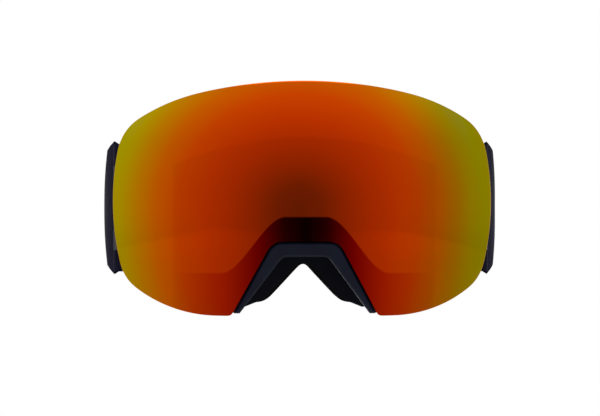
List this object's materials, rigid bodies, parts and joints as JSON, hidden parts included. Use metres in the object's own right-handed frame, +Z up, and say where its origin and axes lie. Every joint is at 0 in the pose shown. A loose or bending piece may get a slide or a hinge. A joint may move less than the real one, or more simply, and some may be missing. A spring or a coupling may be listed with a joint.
{
  "type": "ski goggles",
  "caption": "Frameless ski goggles: a lift-off toric double lens on a foam-lined frame, with hinged outriggers and an adjustable elastic strap.",
  "frame": {"origin": "on the middle plane at eye height, where the line of the forehead meets the foam's rear face", "axes": "+Y back towards the wearer's head, the lens faces -Y, +X to the wearer's left, +Z up"},
  "size_m": [0.1884, 0.2348, 0.1062],
  "materials": {
    "lens_mirror": "orange-red mirror coating on polycarbonate",
    "lens_clear": "clear anti-fog sheet",
    "spacer_foam": "closed-cell foam",
    "carrier_plastic": "satin",
    "magnet": "nickel plate",
    "frame_plastic": "satin",
    "skirt_rubber": "matte",
    "vent_foam": "open-cell foam",
    "base_foam": "open-cell foam",
    "comfort_foam": "soft open-cell foam",
    "fleece": "brushed fleece",
    "outrigger_plastic": "satin",
    "pin_steel": "bright",
    "strap_webbing": "woven elastic",
    "strap_silicone": "satin silicone",
    "slider_plastic": "satin"
  },
  "bodies": {
    "frame": {"front_frame": "frame_plastic", "frame_magnets": "magnet", "face_frame": "skirt_rubber", "top_vent_foam": "vent_foam", "bottom_vent_foam_left": "vent_foam", "bottom_vent_foam_right": "vent_foam", "base_foam": "base_foam", "comfort_foam": "comfort_foam", "fleece_lining": "fleece", "outrigger_pin_left": "pin_steel", "outrigger_pin_right": "pin_steel", "strap_rear": "strap_webbing", "strap_grip": "strap_silicone"},
    "lens_module": {"outer_lens": "lens_mirror", "lens_spacer": "spacer_foam", "inner_lens": "lens_clear", "lens_carrier": "carrier_plastic", "lens_magnets": "magnet"},
    "outrigger_left": {"outrigger_left": "outrigger_plastic", "strap_side_left": "strap_webbing", "strap_return_left": "strap_webbing"},
    "slider_left": {"slider_left": "slider_plastic", "strap_tail_left": "strap_webbing"},
    "outrigger_right": {"outrigger_right": "outrigger_plastic", "strap_side_right": "strap_webbing", "strap_return_right": "strap_webbing"},
    "slider_right": {"slider_right": "slider_plastic", "strap_tail_right": "strap_webbing"}
  },
  "joints": [
    {"name": "lens_release", "type": "slide", "parent": "frame", "child": "lens_module", "axis": [0, -1, 0], "range_m": [0, 0.06]},
    {"name": "outrigger_left_hinge", "type": "hinge", "parent": "frame", "child": "outrigger_left", "pos_m": [0.086, 0.0106, 0], "axis": [0, 0, -1], "range_deg": [-6, 20]},
    {"name": "slider_left_slide", "type": "slide", "parent": "outrigger_left", "child": "slider_left", "axis": [0.1392, -0.9903, 0], "range_m": [0, 0.04], "deforming": ["strap_return_left"]},
    {"name": "outrigger_right_hinge", "type": "hinge", "parent": "frame", "child": "outrigger_right", "pos_m": [-0.086, 0.0106, 0], "axis": [0, 0, 1], "range_deg": [-6, 20]},
    {"name": "slider_right_slide", "type": "slide", "parent": "outrigger_right", "child": "slider_right", "axis": [-0.1392, -0.9903, 0], "range_m": [0, 0.04], "deforming": ["strap_return_right"]}
  ]
}
